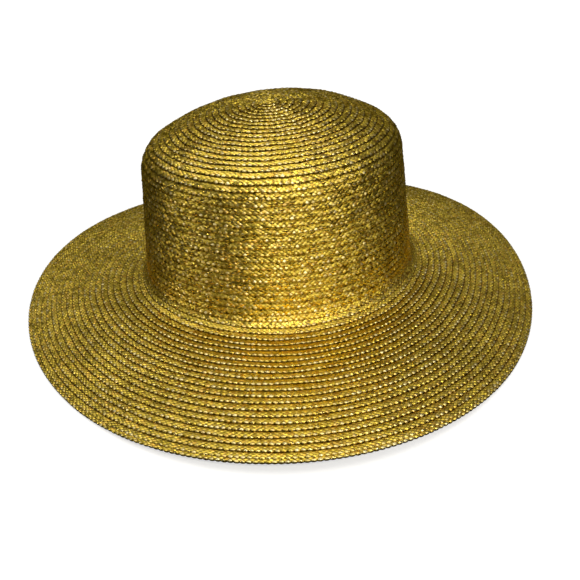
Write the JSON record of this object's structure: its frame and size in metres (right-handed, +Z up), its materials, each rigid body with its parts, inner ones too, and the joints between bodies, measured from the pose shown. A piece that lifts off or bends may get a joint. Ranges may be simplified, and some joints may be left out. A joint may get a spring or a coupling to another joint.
{
  "type": "sun hat",
  "caption": "Wide-brimmed sun hat of metallic gold plaited straw braid sewn in a spiral, with a domed crown and a gently waved brim.",
  "frame": {"origin": "middle of the rim's box in plan, on the plane that the rim rests on", "axes": "+Z up through the crown; the head opening's long axis lies 20 degrees counter-clockwise from +X; +Y points away from the picture's camera"},
  "size_m": [0.3754, 0.3886, 0.1464],
  "materials": {
    "crown_straw": "metallic gold plaited straw",
    "brim_straw": "metallic gold plaited straw"
  },
  "bodies": {
    "root": {"crown": "crown_straw", "brim": "brim_straw"}
  },
  "joints": []
}
